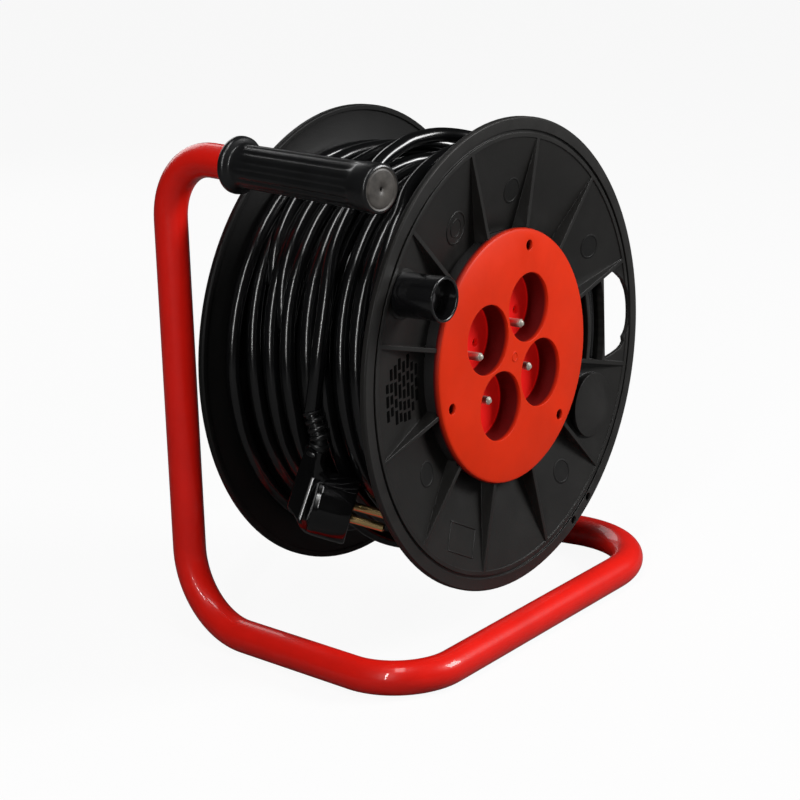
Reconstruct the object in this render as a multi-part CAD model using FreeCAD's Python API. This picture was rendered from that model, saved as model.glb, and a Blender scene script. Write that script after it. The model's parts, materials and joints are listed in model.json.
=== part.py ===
import FreeCAD, Part
import math
import os

# Extension cord reel with four outlets, a wound cable and a bent-tube carrying frame.
# Millimetres. Z up, floor at z = 0. The drum axis runs along Y at z = AXLE_Z.
# Shapes are drawn with the drum axis at x = 0 and the middle of the winding space at y = 0.
# The outlet side is the front and faces -Y; +X is right. export() then shifts every shape by
# ORIGIN_SHIFT, which puts the origin at the middle of the whole reel's footprint.
# Polar places are (radius, angle) about the drum axis, in degrees from +X towards +Z.

os.makedirs("parts", exist_ok=True)
Vec = FreeCAD.Vector

# ---------------------------------------------------------------- driving dimensions
AXLE_Z = 161.2          # axle height above the floor
AXIS = Vec(0, 0, AXLE_Z)
ALONG_Y = Vec(0, 1, 0)
ORIGIN_SHIFT = Vec(-1.86, -6.08, 0)
PHASE = 15.0            # turn of the drum pattern at rest, degrees
AXLE_R = 8.0
STUD_R = 6.0            # thinner front end of the axle
BUSH_BORE_R = AXLE_R + 0.05

# flanges; y values are distances from the middle plane
FLANGE_R = 135.0
RIM_Y = 58.4            # outer plane of each rim
RIM_T = 4.0             # depth of the rim's edge
RIM_CHAMFER = 0.8
RIM_FLAT_R = 127.8      # inner radius of the flat rim band
GROOVE_R = 126.0        # inner radius of the shallow groove
GROOVE_DEPTH = 1.2
RING_R = 123.5          # inner radius of the raised ring
PANEL_IN_R = 70.5       # inner radius of the conical panels
PANEL_D0 = 0.6          # panel depth below the rim plane at the ring
PANEL_SLOPE = 0.172     # extra panel depth per mm towards the hub
WEB_T = 2.4             # wall thickness of flange panels
CUP_OUT_R = 73.0        # outside of the cup in the middle of each flange
RIB_T = 2.4
RIB_PHASE = 15.5        # angle of the first rib, degrees
HUB_FLOOR_Y = 42.0      # outer surface of the floor inside each cup
HUB_BACK_Y = HUB_FLOOR_Y - 2.5
CUP_IN_R = 60.0         # opening in the front flange's cup floor
HUB_RO, HUB_RI = 17.0, 12.0
HUB_Y = (-2.2, 60.2)    # ends of the rear flange's hub tube
BUSH_LENGTH = 16.2
BARREL_RI, BARREL_RO = 73.15, 75.6
BARREL_HALF = 46.2

# outlet plate
PLATE_R = 72.85
PLATE_FRONT = -60.7
PLATE_T = 2.7
WELL_R = 19.9           # recess for a plug, radius
WELL_DEPTH = 15.0
WELL_FLOOR = PLATE_FRONT + WELL_DEPTH
WELL_PITCH_R = 29.6     # drum axis to each recess's axis
EARTH_DIRS = [angle + PHASE for angle in (225, 225, 135, 135)]
EARTH_OFF = 10.0        # earth pin to recess centre
CONTACT_OFF = 9.5       # half of the 19 mm contact spacing
CONTACT_HOLE_R = 2.5
PIN_R = 2.4             # 4.8 mm pins

# contacts behind the plate
CARRIER_Y = CARRIER_FRONT, CARRIER_BACK = -42.9, -27.0
EARTH_BAR_Y = (CARRIER_FRONT + 0.3, CARRIER_FRONT + 1.5)
LIVE_BAR_Y = (CARRIER_BACK + 0.2, CARRIER_BACK + 1.4)
NEUTRAL_BAR_Y = (CARRIER_BACK + 3.4, CARRIER_BACK + 4.6)
RIVET_R = 1.5           # contact tails, through the live and neutral bars
CUTOUT = Vec(-44.0, 0, AXLE_Z + 26.0)    # centre of the thermal cut-out's case

# cable
CABLE_R = 4.2
COIL_RI, COIL_RO = 75.7, 111.8
LEAD_ANGLE, LEAD_Y = 105.0, 5.0          # radial line of the cable's entry
CLAMP_SCREW_OFF = 8.6

# frame tube
TUBE_R, TUBE_WALL = 9.5, 1.5
SIDE_YAW = math.radians(6.52)      # the handle side leans outwards towards the front
HANDLE_DROP = 0.024
HANDLE_DIR = Vec(-math.sin(SIDE_YAW), -math.cos(SIDE_YAW), -HANDLE_DROP)
HANDLE_LENGTH = 160.0
POST_X, POST_Y, HANDLE_Z = -115.0, 90.2, 283.2
POST_TOP = Vec(POST_X, POST_Y, HANDLE_Z)
POST_LOW = Vec(POST_X, POST_Y, TUBE_R)
FRONT_LEFT = Vec(-134.5, -80.6, TUBE_R)
FRONT_RIGHT = Vec(146.5, -71.8, TUBE_R)
STRUT_Y = 84.0                     # plane of the strut that rises to the axle
REAR_RIGHT = Vec(130.9, STRUT_Y, TUBE_R)
BEND_RADII = [36.6, 44.3, 35.4, 59.4, 45.0]    # handle, rear left, then the three above
BOSS_R, BOSS_Y = 15.0, (70.0, 98.0)
BOSS_CENTRE = Vec(0, STRUT_Y, AXLE_Z)


# ---------------------------------------------------------------- helpers
def export(name, shape):
    shape = shape.copy()
    shape.translate(ORIGIN_SHIFT)
    shape.exportStep("parts/%s.step" % name)


def polar(radius, degrees, y=0.0):
    angle = math.radians(degrees)
    return Vec(radius * math.cos(angle), y, AXLE_Z + radius * math.sin(angle))


def around(first, count):
    """Evenly spaced angles in a full turn, degrees."""
    return [first + 360.0 / count * k for k in range(count)]


def polar_row(radius, first, count):
    return [polar(radius, angle) for angle in around(first, count)]


def cyl(radius, y0, y1, at=AXIS):
    """Cylinder along Y through the x and z of a point."""
    return Part.makeCylinder(radius, y1 - y0, Vec(at.x, y0, at.z), ALONG_Y)


def washer(outer_r, inner_r, y0, y1, at=AXIS):
    return cyl(outer_r, y0, y1, at).cut(cyl(inner_r, y0 - 1, y1 + 1, at))


def extrude_face(points, direction):
    return Part.Face(Part.makePolygon(points + [points[0]])).extrude(direction)


def revolve(outline):
    """Solid of revolution about the drum axis from (radius, y) points."""
    points = [Vec(r, y, AXLE_Z) for r, y in outline]
    face = Part.Face(Part.makePolygon(points + [points[0]]))
    return face.revolve(AXIS, ALONG_Y, 360)


def turn(shape, degrees):
    """Turn about the drum axis so that a shape drawn at angle 0 lands at the given angle."""
    turned = shape.copy()
    turned.rotate(AXIS, ALONG_Y, -degrees)
    return turned


def radial_plate(outline, half):
    """Plate at angle 0 from (radius, y) points, half thick to each side."""
    return extrude_face([Vec(r, y, AXLE_Z - half) for r, y in outline], Vec(0, 0, 2 * half))


def arc_points(radius, start, end, count):
    return [(radius, start + (end - start) * k / count) for k in range(count + 1)]


def polar_prism(outline, y0, y1):
    """Prism along Y from (radius, angle) points."""
    return extrude_face([polar(r, a, y0) for r, a in outline], Vec(0, y1 - y0, 0))


def fuse(shapes):
    return shapes[0].multiFuse(shapes[1:]).removeSplitter()


def stepped(steps, at=AXIS):
    """Coaxial cylinders fused from (radius, y0, y1) steps."""
    return fuse([cyl(radius, y0, y1, at) for radius, y0, y1 in steps])


def cut_all(shape, tools):
    for tool in tools:
        shape = shape.cut(tool)
    return shape


def drill(shape, radius, y0, y1, places):
    return cut_all(shape, [cyl(radius, y0, y1, place) for place in places])


def largest(shape):
    return sorted(shape.Solids, key=lambda solid: solid.Volume)[-1]


def bent_path(points, radii):
    """Wire along a polyline whose corners are rounded by the given radii."""
    edges, last = [], points[0]
    for before, corner, after, radius in zip(points, points[1:], points[2:], radii):
        back = (before - corner).normalize()
        ahead = (after - corner).normalize()
        half = back.getAngle(ahead) / 2
        setback = radius / math.tan(half)
        start, end = corner + back * setback, corner + ahead * setback
        bisector = (back + ahead).normalize()
        middle = corner + bisector * (radius / math.sin(half) - radius)
        edges.append(Part.makeLine(last, start))
        edges.append(Part.Arc(start, middle, end).toShape())
        last = end
    edges.append(Part.makeLine(last, points[-1]))
    return Part.Wire(edges)


def sweep(wire, radius):
    edge = wire.Edges[0]
    start = edge.valueAt(edge.FirstParameter)
    tangent = edge.tangentAt(edge.FirstParameter)
    section = Part.Wire(Part.makeCircle(radius, start, tangent))
    swept = wire.makePipeShell([section], True, False)
    # the pipe may come back as a shell
    return Part.makeSolid(swept) if swept.ShapeType != "Solid" else swept


def sweep_spline(points, radius):
    curve = Part.BSplineCurve()
    curve.interpolate(points)
    return sweep(Part.Wire([curve.toShape()]), radius)


def strip(start, end, y0, y1, half_width):
    """Flat bar across the drum axis with round ends on two points."""
    run = Vec(end.x - start.x, 0, end.z - start.z)
    box = Part.makeBox(run.Length, y1 - y0, 2 * half_width, Vec(0, y0, -half_width))
    box.rotate(Vec(0, 0, 0), ALONG_Y, -math.degrees(math.atan2(run.z, run.x)))
    box.translate(Vec(start.x, 0, start.z))
    return fuse([box, cyl(half_width, y0, y1, start), cyl(half_width, y0, y1, end)])


# ---------------------------------------------------------------- shared places
PLATE_SCREWS = polar_row(63.3, 60 + PHASE, 3)
TIE_SCREWS = polar_row(66.2, 45.5, 3)
CARRIER_POSTS = polar_row(47.0, PHASE, 4)

KNOB_R, KNOB_ANGLE = 111.0, 150.5
KNOB = polar(KNOB_R, KNOB_ANGLE)

LEAD_START = polar(48.0, LEAD_ANGLE, LEAD_Y)
LEAD_DIR = polar(1.0, LEAD_ANGLE) - AXIS
LEAD_SIDE = polar(1.0, LEAD_ANGLE + 90) - AXIS
CLAMP_SCREWS = [polar(59.0, LEAD_ANGLE) + LEAD_SIDE * side
                for side in (-CLAMP_SCREW_OFF, CLAMP_SCREW_OFF)]


def offset(centre, distance, degrees):
    angle = math.radians(degrees)
    return centre + Vec(distance * math.cos(angle), 0, distance * math.sin(angle))


# recesses in the order top, left, bottom, right; live and neutral lie across the earth direction
WELLS = polar_row(WELL_PITCH_R, 45 + PHASE, 4)
EARTHS = [offset(c, EARTH_OFF, a) for c, a in zip(WELLS, EARTH_DIRS)]
LIVES = [offset(c, CONTACT_OFF, a - 90) for c, a in zip(WELLS, EARTH_DIRS)]
NEUTRALS = [offset(c, -CONTACT_OFF, a - 90) for c, a in zip(WELLS, EARTH_DIRS)]
EARTH_MID_RIGHT = (EARTHS[0] + EARTHS[3]) * 0.5
EARTH_MID_LEFT = (EARTHS[1] + EARTHS[2]) * 0.5
EARTH_TAP = EARTH_MID_LEFT + Vec(-20, 0, 3.6)      # where the earth wire joins its bar


# ---------------------------------------------------------------- frame
def frame_path():
    corners = [POST_TOP, POST_LOW, FRONT_LEFT, FRONT_RIGHT, REAR_RIGHT]
    handle_end = POST_TOP + HANDLE_DIR * HANDLE_LENGTH
    return bent_path([handle_end] + corners + [BOSS_CENTRE], BEND_RADII)


def frame_tube():
    path = frame_path()
    tube = sweep(path, TUBE_R).cut(sweep(path, TUBE_R - TUBE_WALL))
    return tube.cut(cyl(BOSS_R, *BOSS_Y))


def axle_boss():
    return washer(BOSS_R, AXLE_R, *BOSS_Y)


def boss_gusset():
    """Flat plate between the boss and the upper right side of the strut."""
    thickness = 3.0
    up_strut = (BOSS_CENTRE - REAR_RIGHT).normalize()
    sideways = Vec(up_strut.z, 0, -up_strut.x)
    # (distance down the strut from the axle, distance to its side)
    outline = [(0.0, 14.9), (48.0, 9.0), (40.0, 4.0), (0.0, 4.0)]
    points = [BOSS_CENTRE - up_strut * down + sideways * side for down, side in outline]
    gusset = extrude_face(points, Vec(0, thickness, 0))
    gusset.translate(Vec(0, -thickness / 2, 0))
    gusset = gusset.cut(cyl(BOSS_R, *BOSS_Y)).cut(sweep(frame_path(), TUBE_R))
    return largest(gusset)


def handle_grip():
    """Fluted grip with a collar at its rear and a closed front end."""
    start, end = 57.6, 164.4       # distances along the handle from the post's corner
    length = end - start
    end_wall = 4.0
    flutes, flute_r, flute_pitch_r = 14, 1.6, 13.25
    flute_start, flute_length = 12.0, 76.0
    # (radius, distance from the collar's face)
    outline = [(TUBE_R, 0), (15.4, 0), (15.6, 0.8), (15.6, 3.0), (14.6, 4.0), (11.9, 5.2),
               (11.75, 9.0), (12.5, length - 14), (12.8, length - 10), (12.8, length - 1.2),
               (12.0, length), (0, length), (0, length - end_wall), (TUBE_R, length - end_wall)]
    points = [Vec(r, 0, h) for r, h in outline]
    face = Part.Face(Part.makePolygon(points + [points[0]]))
    grip = face.revolve(Vec(0, 0, 0), Vec(0, 0, 1), 360)
    for degrees in around(0, flutes):
        foot = offset(Vec(0, 0, 0), flute_pitch_r, degrees)
        foot = Vec(foot.x, foot.z, flute_start)
        grip = grip.cut(Part.makeCylinder(flute_r, flute_length, foot, Vec(0, 0, 1)))
    # small blind hole in the end face
    grip = grip.cut(Part.makeCylinder(0.9, 1.5, Vec(0, 0, length - 1.2), Vec(0, 0, 1)))
    along = Vec(HANDLE_DIR).normalize()
    turn_to_handle = FreeCAD.Rotation(Vec(0, 0, 1), along)
    grip.Placement = FreeCAD.Placement(POST_TOP + along * start, turn_to_handle)
    return grip


# ---------------------------------------------------------------- axle, washers, nut
def axle_spindle():
    return stepped([(AXLE_R, -4.4, BOSS_Y[1]), (STUD_R, -17.0, -4.4),
                    (11.0, BOSS_Y[1], BOSS_Y[1] + 3.0)])


def axle_spacer():
    return washer(13.0, AXLE_R, 62.4, BOSS_Y[0])


def rear_thrust_washer():
    return washer(HUB_RO, BUSH_BORE_R, 60.3, 62.3)


def front_thrust_washer():
    return washer(HUB_RO, BUSH_BORE_R, -4.3, -2.3)


def axle_nut():
    corner_r, front, height = 10.97, -15.4, 9.6
    corners = [polar(corner_r, angle, front) for angle in around(0, 6)]
    return extrude_face(corners, Vec(0, height, 0)).cut(cyl(STUD_R, -16, -5))


def nut_washer():
    return washer(12.0, STUD_R, -5.7, -4.4)


# ---------------------------------------------------------------- flanges and drum
def panel_y(radius):
    """Distance of a conical panel's outer surface from the middle plane."""
    return RIM_Y - PANEL_D0 - (RING_R - radius) * PANEL_SLOPE


def flange_blank(side, centre):
    """Revolved flange; side is -1 for the front, +1 for the rear. centre is its hub outline."""
    web_back = RIM_Y - PANEL_D0 - WEB_T
    edge_r, web_r = FLANGE_R - RIM_CHAMFER, 131.8
    outline = [(edge_r, RIM_Y), (RIM_FLAT_R, RIM_Y), (RIM_FLAT_R, RIM_Y - GROOVE_DEPTH),
               (GROOVE_R, RIM_Y - GROOVE_DEPTH), (GROOVE_R, RIM_Y), (RING_R, RIM_Y),
               (RING_R, RIM_Y - PANEL_D0), (PANEL_IN_R, panel_y(PANEL_IN_R)),
               (PANEL_IN_R, HUB_FLOOR_Y)]
    outline += centre
    outline += [(CUP_OUT_R, HUB_BACK_Y), (CUP_OUT_R, panel_y(CUP_OUT_R) - WEB_T),
                (RING_R, web_back), (web_r, web_back), (web_r, RIM_Y - RIM_T),
                (edge_r, RIM_Y - RIM_T), (FLANGE_R, RIM_Y - RIM_T + RIM_CHAMFER),
                (FLANGE_R, RIM_Y - RIM_CHAMFER)]
    return revolve([(r, side * y) for r, y in outline])


def ribs(side):
    """Twelve radial ribs on the outer surface of the panels."""
    inner, outer, foot = 73.4, RING_R + 0.3, PANEL_IN_R + 0.4
    step_y, sink = 55.6, 1.0
    outline = [(inner, RIM_Y), (outer, RIM_Y), (outer, RIM_Y - 2.0),
               (100.0, panel_y(100.0) - sink), (foot, panel_y(foot) - sink),
               (foot, step_y), (inner, step_y)]
    rib = radial_plate([(r, side * y) for r, y in outline], RIB_T / 2)
    return [turn(rib, angle) for angle in around(RIB_PHASE, 12)]


# walls beside the hand hole: inner radius, outer radius, back y
HAND_WALLS = [(80.2, 83.2, -47.4), (98.2, 101.4, -50.9)]
# outline of the hand hole beyond the outer wall: radius, angle
HAND_HOLE = [
    (101.4, 14.8), (110.0, 14.9), (114.4, 14.2), (117.6, 12.9), (120.4, 11.2), (122.4, 9.9),
    (122.8, 9.1), (124.2, 7.7), (125.5, 6.2), (126.3, 4.4), (126.8, 2.4), (126.9, 0.3),
    (126.7, -1.6), (126.0, -3.5), (124.9, -4.8), (123.4, -5.9), (121.8, -6.8), (122.6, -8.2),
    (121.4, -9.2), (118.8, -10.3), (114.0, -11.6), (107.0, -13.3), (101.4, -13.7)]
PARK_R, PARK_ANGLE = 130.6, -57.4      # middle of the holes that park the plug's pins


def front_flange():
    blank = flange_blank(-1, [(CUP_IN_R, HUB_FLOOR_Y), (CUP_IN_R, HUB_BACK_Y)])
    screw_bosses = [cyl(4.6, -47.0, -41.0, place) for place in PLATE_SCREWS]
    low, high = RIB_PHASE - 30.0 + 0.6, RIB_PHASE - 0.3
    walls = [polar_prism(arc_points(r0, low, high, 10) + arc_points(r1, high, low, 10),
                         -RIM_Y, back)
             for r0, r1, back in HAND_WALLS]
    # round pad in the middle of the panel below the hand hole
    pad = cyl(19.5, -56.2, -50.5, polar(101.0, RIB_PHASE - 45))
    knob_pad = cyl(13.6, -57.0, -53.7, KNOB)
    flange = fuse([blank] + ribs(-1) + screw_bosses + walls + [pad, knob_pad])

    window_in, window_out = HAND_WALLS[0][1], HAND_WALLS[1][0]
    window = (arc_points(window_in, -13.4, 14.2, 8) + arc_points(window_out, 14.4, -13.6, 8))
    flange = flange.cut(polar_prism(window, -60, -40)).cut(polar_prism(HAND_HOLE, -62, -50))

    park_half = math.degrees(math.asin(CONTACT_OFF / PARK_R))
    parking = [polar(PARK_R, PARK_ANGLE + side * park_half) for side in (-1, 1)]
    flange = drill(flange, 2.6, -62, -50, parking)
    flange = drill(flange, 1.7, -48, -38, PLATE_SCREWS)
    flange = drill(flange, 2.05, -43, -38, TIE_SCREWS)
    flange = flange.cut(cyl(8.0, -60, -45, KNOB))
    # seat for the knob's end and pocket for the spigot's disc
    return flange.cut(cyl(12.9, -62, -57.0, KNOB)).cut(cyl(12.1, -53.65, -48.0, KNOB))


def rear_flange():
    """Rear flange with its long hub tube and the pedestal for the cable clamp."""
    inner_end, outer_end = HUB_Y
    blank = flange_blank(1, [(HUB_RO, HUB_FLOOR_Y), (HUB_RO, outer_end), (HUB_RI, outer_end),
                             (HUB_RI, inner_end), (HUB_RO, inner_end), (HUB_RO, HUB_BACK_Y)])
    root_y = HUB_FLOOR_Y - 1
    spoke = radial_plate([(HUB_RO - 1, 4.0), (HUB_RO - 1, root_y),
                          (60.0, root_y), (60.0, HUB_FLOOR_Y - 8)], 1.3)
    spokes = [turn(spoke, angle) for angle in around(RIB_PHASE + 15, 6)]
    pedestal = radial_plate([(53.0, 9.3), (65.0, 9.3), (65.0, root_y), (53.0, root_y)], 13.0)
    tie_bosses = [cyl(4.6, 24.0, root_y, place) for place in TIE_SCREWS]
    flange = fuse([blank] + ribs(1) + spokes + [turn(pedestal, LEAD_ANGLE)] + tie_bosses)
    flange = drill(flange, 2.0, 20.0, 38.0, TIE_SCREWS)
    return drill(flange, 1.5, 9.0, 21.0, CLAMP_SCREWS)


def rear_hub_bush():
    return washer(HUB_RI, BUSH_BORE_R, HUB_Y[1] - BUSH_LENGTH, HUB_Y[1])


def front_hub_bush():
    return washer(HUB_RI, BUSH_BORE_R, HUB_Y[0], HUB_Y[0] + BUSH_LENGTH)


def lead_cylinder(radius, start_r, length):
    """Cylinder along the cable's entry line, from start_r outwards."""
    return Part.makeCylinder(radius, length, polar(start_r, LEAD_ANGLE, LEAD_Y), LEAD_DIR)


def drum_barrel():
    barrel = washer(BARREL_RO, BARREL_RI, -BARREL_HALF, BARREL_HALF)
    return barrel.cut(lead_cylinder(4.8, 68.0, 16.0))


def tie_screws():
    """Three screws that pull the flanges together."""
    steps = [(2.0, -HUB_FLOOR_Y, 37.0), (3.9, -HUB_FLOOR_Y - 2.6, -HUB_FLOOR_Y)]
    return Part.makeCompound([stepped(steps, place) for place in TIE_SCREWS])


# ---------------------------------------------------------------- outlet plate
def socket_plate():
    back, skirt_back, skirt_in_r = PLATE_FRONT + PLATE_T, -57.0, 70.6
    sunk = PLATE_FRONT + 1.0       # where the pieces behind the plate start, inside it
    disc = revolve([(0, PLATE_FRONT), (PLATE_R - 2.0, PLATE_FRONT),
                    (PLATE_R - 0.6, PLATE_FRONT + 0.6), (PLATE_R, PLATE_FRONT + 2.0),
                    (PLATE_R, skirt_back), (skirt_in_r, skirt_back), (skirt_in_r, back),
                    (0, back)])
    cups = [cyl(WELL_R + 1.6, sunk, WELL_FLOOR + 2.5, place) for place in WELLS]
    tubes = [cyl(5.2, sunk, -47.0, place) for place in PLATE_SCREWS]
    posts = [cyl(4.2, sunk, CARRIER_FRONT, place) for place in CARRIER_POSTS]
    plate = fuse([disc] + cups + tubes + posts)
    plate = drill(plate, WELL_R, PLATE_FRONT - 1.0, WELL_FLOOR, WELLS)
    for earth, live, neutral in zip(EARTHS, LIVES, NEUTRALS):
        plate = drill(plate, 1.9, WELL_FLOOR - 1, WELL_FLOOR + 4, [earth])
        plate = drill(plate, CONTACT_HOLE_R, WELL_FLOOR - 1, WELL_FLOOR + 4, [live, neutral])
    for place in PLATE_SCREWS:
        plate = plate.cut(cyl(3.1, -62, -50.0, place)).cut(cyl(1.9, -51, -46, place))
    return drill(plate, 1.5, -54.0, -42.0, CARRIER_POSTS)


def plate_screws():
    """Cross-slotted screws in the plate's deep tubes."""
    head_y = -52.0
    slot_length, slot_depth, slot_width = 3.4, 0.9, 0.7
    screws = []
    for place in PLATE_SCREWS:
        screw = stepped([(2.9, head_y, -50.0), (1.7, -50.0, -40.5)], place)
        for size_x, size_z in ((slot_length, slot_width), (slot_width, slot_length)):
            corner = Vec(place.x - size_x / 2, head_y, place.z - size_z / 2)
            screw = screw.cut(Part.makeBox(size_x, slot_depth, size_z, corner))
        screws.append(screw)
    return Part.makeCompound(screws)


# ---------------------------------------------------------------- contacts and busbars
def earth_strips(y0, y1, half_width):
    """Two bars between earth pins, a cross bar and a tab towards the left."""
    top, left, bottom, right = EARTHS
    tab_end = EARTH_MID_LEFT + Vec(-22, 0, 4)
    runs = [(top, right), (left, bottom), (EARTH_MID_RIGHT, EARTH_MID_LEFT),
            (EARTH_MID_LEFT, tab_end)]
    return fuse([strip(start, end, y0, y1, half_width) for start, end in runs])


def earth_busbar():
    y0, y1 = EARTH_BAR_Y
    return drill(earth_strips(y0, y1, 3.4), 1.6, y0 - 1, y1 + 1, EARTHS)


def contact_carrier():
    front, back = CARRIER_FRONT - 1, CARRIER_BACK + 1
    carrier = cyl(55.0, *CARRIER_Y)
    carrier = drill(carrier, 3.6, front, back, LIVES + NEUTRALS)
    carrier = drill(carrier, 3.4, front, CARRIER_FRONT + 4.5, EARTHS)
    carrier = drill(carrier, 1.6, front, back, CARRIER_POSTS)
    carrier = carrier.cut(earth_strips(front, EARTH_BAR_Y[1] + 0.15, 3.6))
    return carrier.cut(cyl(3.0, front, back, EARTH_TAP))


def earth_pins():
    bar_front, bar_back = EARTH_BAR_Y
    tip_length, pin_front = 1.3, -58.6
    pins = []
    for place in EARTHS:
        tip_at = Vec(place.x, pin_front - tip_length, place.z)
        pins.append(fuse([cyl(PIN_R, pin_front, WELL_FLOOR, place),
                          cyl(1.9, WELL_FLOOR, bar_front, place),
                          cyl(1.6, bar_front, bar_back + 2.0, place),
                          Part.makeCone(1.1, PIN_R, tip_length, tip_at, ALONG_Y)]))
    return Part.makeCompound(pins)


def contacts(places, bar_y):
    """Sprung sleeves with a split side, closed at the back, with riveted tails."""
    split = 0.7
    sleeves = []
    for place in places:
        sleeve = cyl(3.5, CARRIER_FRONT + 0.1, CARRIER_BACK - 0.1, place)
        sleeve = sleeve.cut(cyl(2.3, CARRIER_FRONT, CARRIER_BACK - 2.0, place))
        corner = Vec(place.x, CARRIER_FRONT, place.z - split / 2)
        sleeve = sleeve.cut(Part.makeBox(8, 12.0, split, corner))
        tail = cyl(RIVET_R, CARRIER_BACK - 0.5, bar_y[1] + 0.8, place)
        sleeves.append(sleeve.fuse(tail).removeSplitter())
    return Part.makeCompound(sleeves)


def live_contacts():
    return contacts(LIVES, LIVE_BAR_Y)


def neutral_contacts():
    return contacts(NEUTRALS, NEUTRAL_BAR_Y)


def busbar(places, y0, y1):
    """Chain of three strips through four contacts."""
    top, left, bottom, right = places
    runs = [(left, top), (top, right), (right, bottom)]
    bar = fuse([strip(start, end, y0, y1, 3.6) for start, end in runs])
    return drill(bar, RIVET_R, y0 - 1, y1 + 1, places)


def live_busbar():
    return busbar(LIVES, *LIVE_BAR_Y)


def neutral_busbar():
    return busbar(NEUTRALS, *NEUTRAL_BAR_Y)


def carrier_screws():
    steps = [(1.5, -53.0, CARRIER_BACK), (2.9, CARRIER_BACK, CARRIER_BACK + 1.9)]
    return Part.makeCompound([stepped(steps, place) for place in CARRIER_POSTS])


def thermal_cutout():
    """Box-shaped case with a tab to the live bar's left end."""
    width, depth, height = 18, 11.5, 15
    bar_back, left_live = LIVE_BAR_Y[1], LIVES[1]
    corner = Vec(CUTOUT.x - width / 2, -25.0, CUTOUT.z - height / 2)
    tab = strip(CUTOUT + Vec(0, 0, -2), left_live + Vec(-3.4, 0, 1.2),
                bar_back, bar_back + 1.0, 2.6)
    case = fuse([Part.makeBox(width, depth, height, corner), tab])
    return case.cut(cyl(2.0, bar_back - 1, bar_back + 3, left_live))


# ---------------------------------------------------------------- cable entry, clamp, wires
def inner_lead():
    return lead_cylinder(CABLE_R, 48.0, 27.5)


def cable_clamp():
    bore_r = CABLE_R + 0.05
    block = radial_plate([(54.5, -4.0), (63.5, -4.0), (63.5, 9.25), (54.5, 9.25)], 12.4)
    block = turn(block, LEAD_ANGLE).cut(lead_cylinder(bore_r, 40, 40))
    # opens the bore towards the rear
    mouth = radial_plate([(50, LEAD_Y), (70, LEAD_Y), (70, 10.0), (50, 10.0)], bore_r)
    block = block.cut(turn(mouth, LEAD_ANGLE))
    return drill(block, 1.6, -6.0, 14.0, CLAMP_SCREWS)


def clamp_screws():
    steps = [(1.5, -4.0, 19.0), (2.8, -6.0, -4.0)]
    return Part.makeCompound([stepped(steps, place) for place in CLAMP_SCREWS])


def core_wire(side, back, middle, end):
    """Wire from the lead's inner end, offset to its side and rearwards, to a terminal."""
    start = LEAD_START + LEAD_SIDE * side + Vec(0, back, 0)
    points = [start - LEAD_DIR * 0.35, start - LEAD_DIR * 5.0] + middle
    return sweep_spline(points + [end + Vec(0, 4.0, 0), end], 1.25)


def live_wire():
    return core_wire(1.9, -1.2, [Vec(-30, 0, AXLE_Z + 37)], CUTOUT + Vec(3, -13.15, 2))


def neutral_wire():
    middle = [Vec(-8, -5, AXLE_Z + 33), Vec(-10.5, -11, AXLE_Z + 18)]
    end = NEUTRALS[1] + Vec(6, NEUTRAL_BAR_Y[1] + 0.25, 2.2)
    return core_wire(-1.9, -1.2, middle, end)


def earth_wire():
    middle = [Vec(-26, 4, AXLE_Z + 28), Vec(-44, 0, AXLE_Z + 8),
              EARTH_TAP + Vec(0, -12, 0), EARTH_TAP + Vec(0, -24, 0)]
    return core_wire(0.0, 1.9, middle, EARTH_TAP + Vec(0, EARTH_BAR_Y[1] + 0.25, 0))


# ---------------------------------------------------------------- wound cable, free end, plug
def cable_coil():
    coil = revolve([(COIL_RI, -45.3), (COIL_RI, 45.3), (COIL_RO - 7, 50.6), (COIL_RO, 47.5),
                    (COIL_RO, -42.0), (COIL_RO - 9, -50.4)])
    return coil.cut(lead_cylinder(4.6, 60.0, 20.0))


# plug frame: pins point along PIN_DIR, the cord leaves along CORD_DIR
PLUG_CENTRE = Vec(-114.31, -10.48, 96.57)
PIN_DIR = Vec(0.517, -0.804, -0.292).normalize()
CORD_DIR = Vec(-0.826, -0.560, -0.057).cross(PIN_DIR).normalize()
PLUG_SIDE = PIN_DIR.cross(CORD_DIR).normalize()


def plug_point(pin, side, cord):
    return PLUG_CENTRE + PIN_DIR * pin + PLUG_SIDE * side + CORD_DIR * cord


PLUG_FACE = 16.6
PLUG_PINS = [plug_point(PLUG_FACE, side, 0) for side in (-CONTACT_OFF, CONTACT_OFF)]
PLUG_EARTH = plug_point(PLUG_FACE, 0, -10.0)
FREE_R = COIL_RO + CABLE_R + 0.35      # centre line of the cable's free end on the coil
RELIEF_END = polar(FREE_R + 0.4, 186.0, -6.5)
# free end over the coil: angle, y
FREE_STATIONS = [(183.5, -7.5), (170.0, -13.0), (157.0, -17.5), (144.0, -22.0), (132.0, -27.5)]


def pin_cylinder(radius, length, face_point, depth):
    """Cylinder along the pins, starting depth behind a point on the plug's face."""
    return Part.makeCylinder(radius, length, face_point - PIN_DIR * depth, PIN_DIR)


def plug_section(pin, outline):
    points = [plug_point(pin, side, cord) for side, cord in outline]
    return Part.makePolygon(points + [points[0]])


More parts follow.
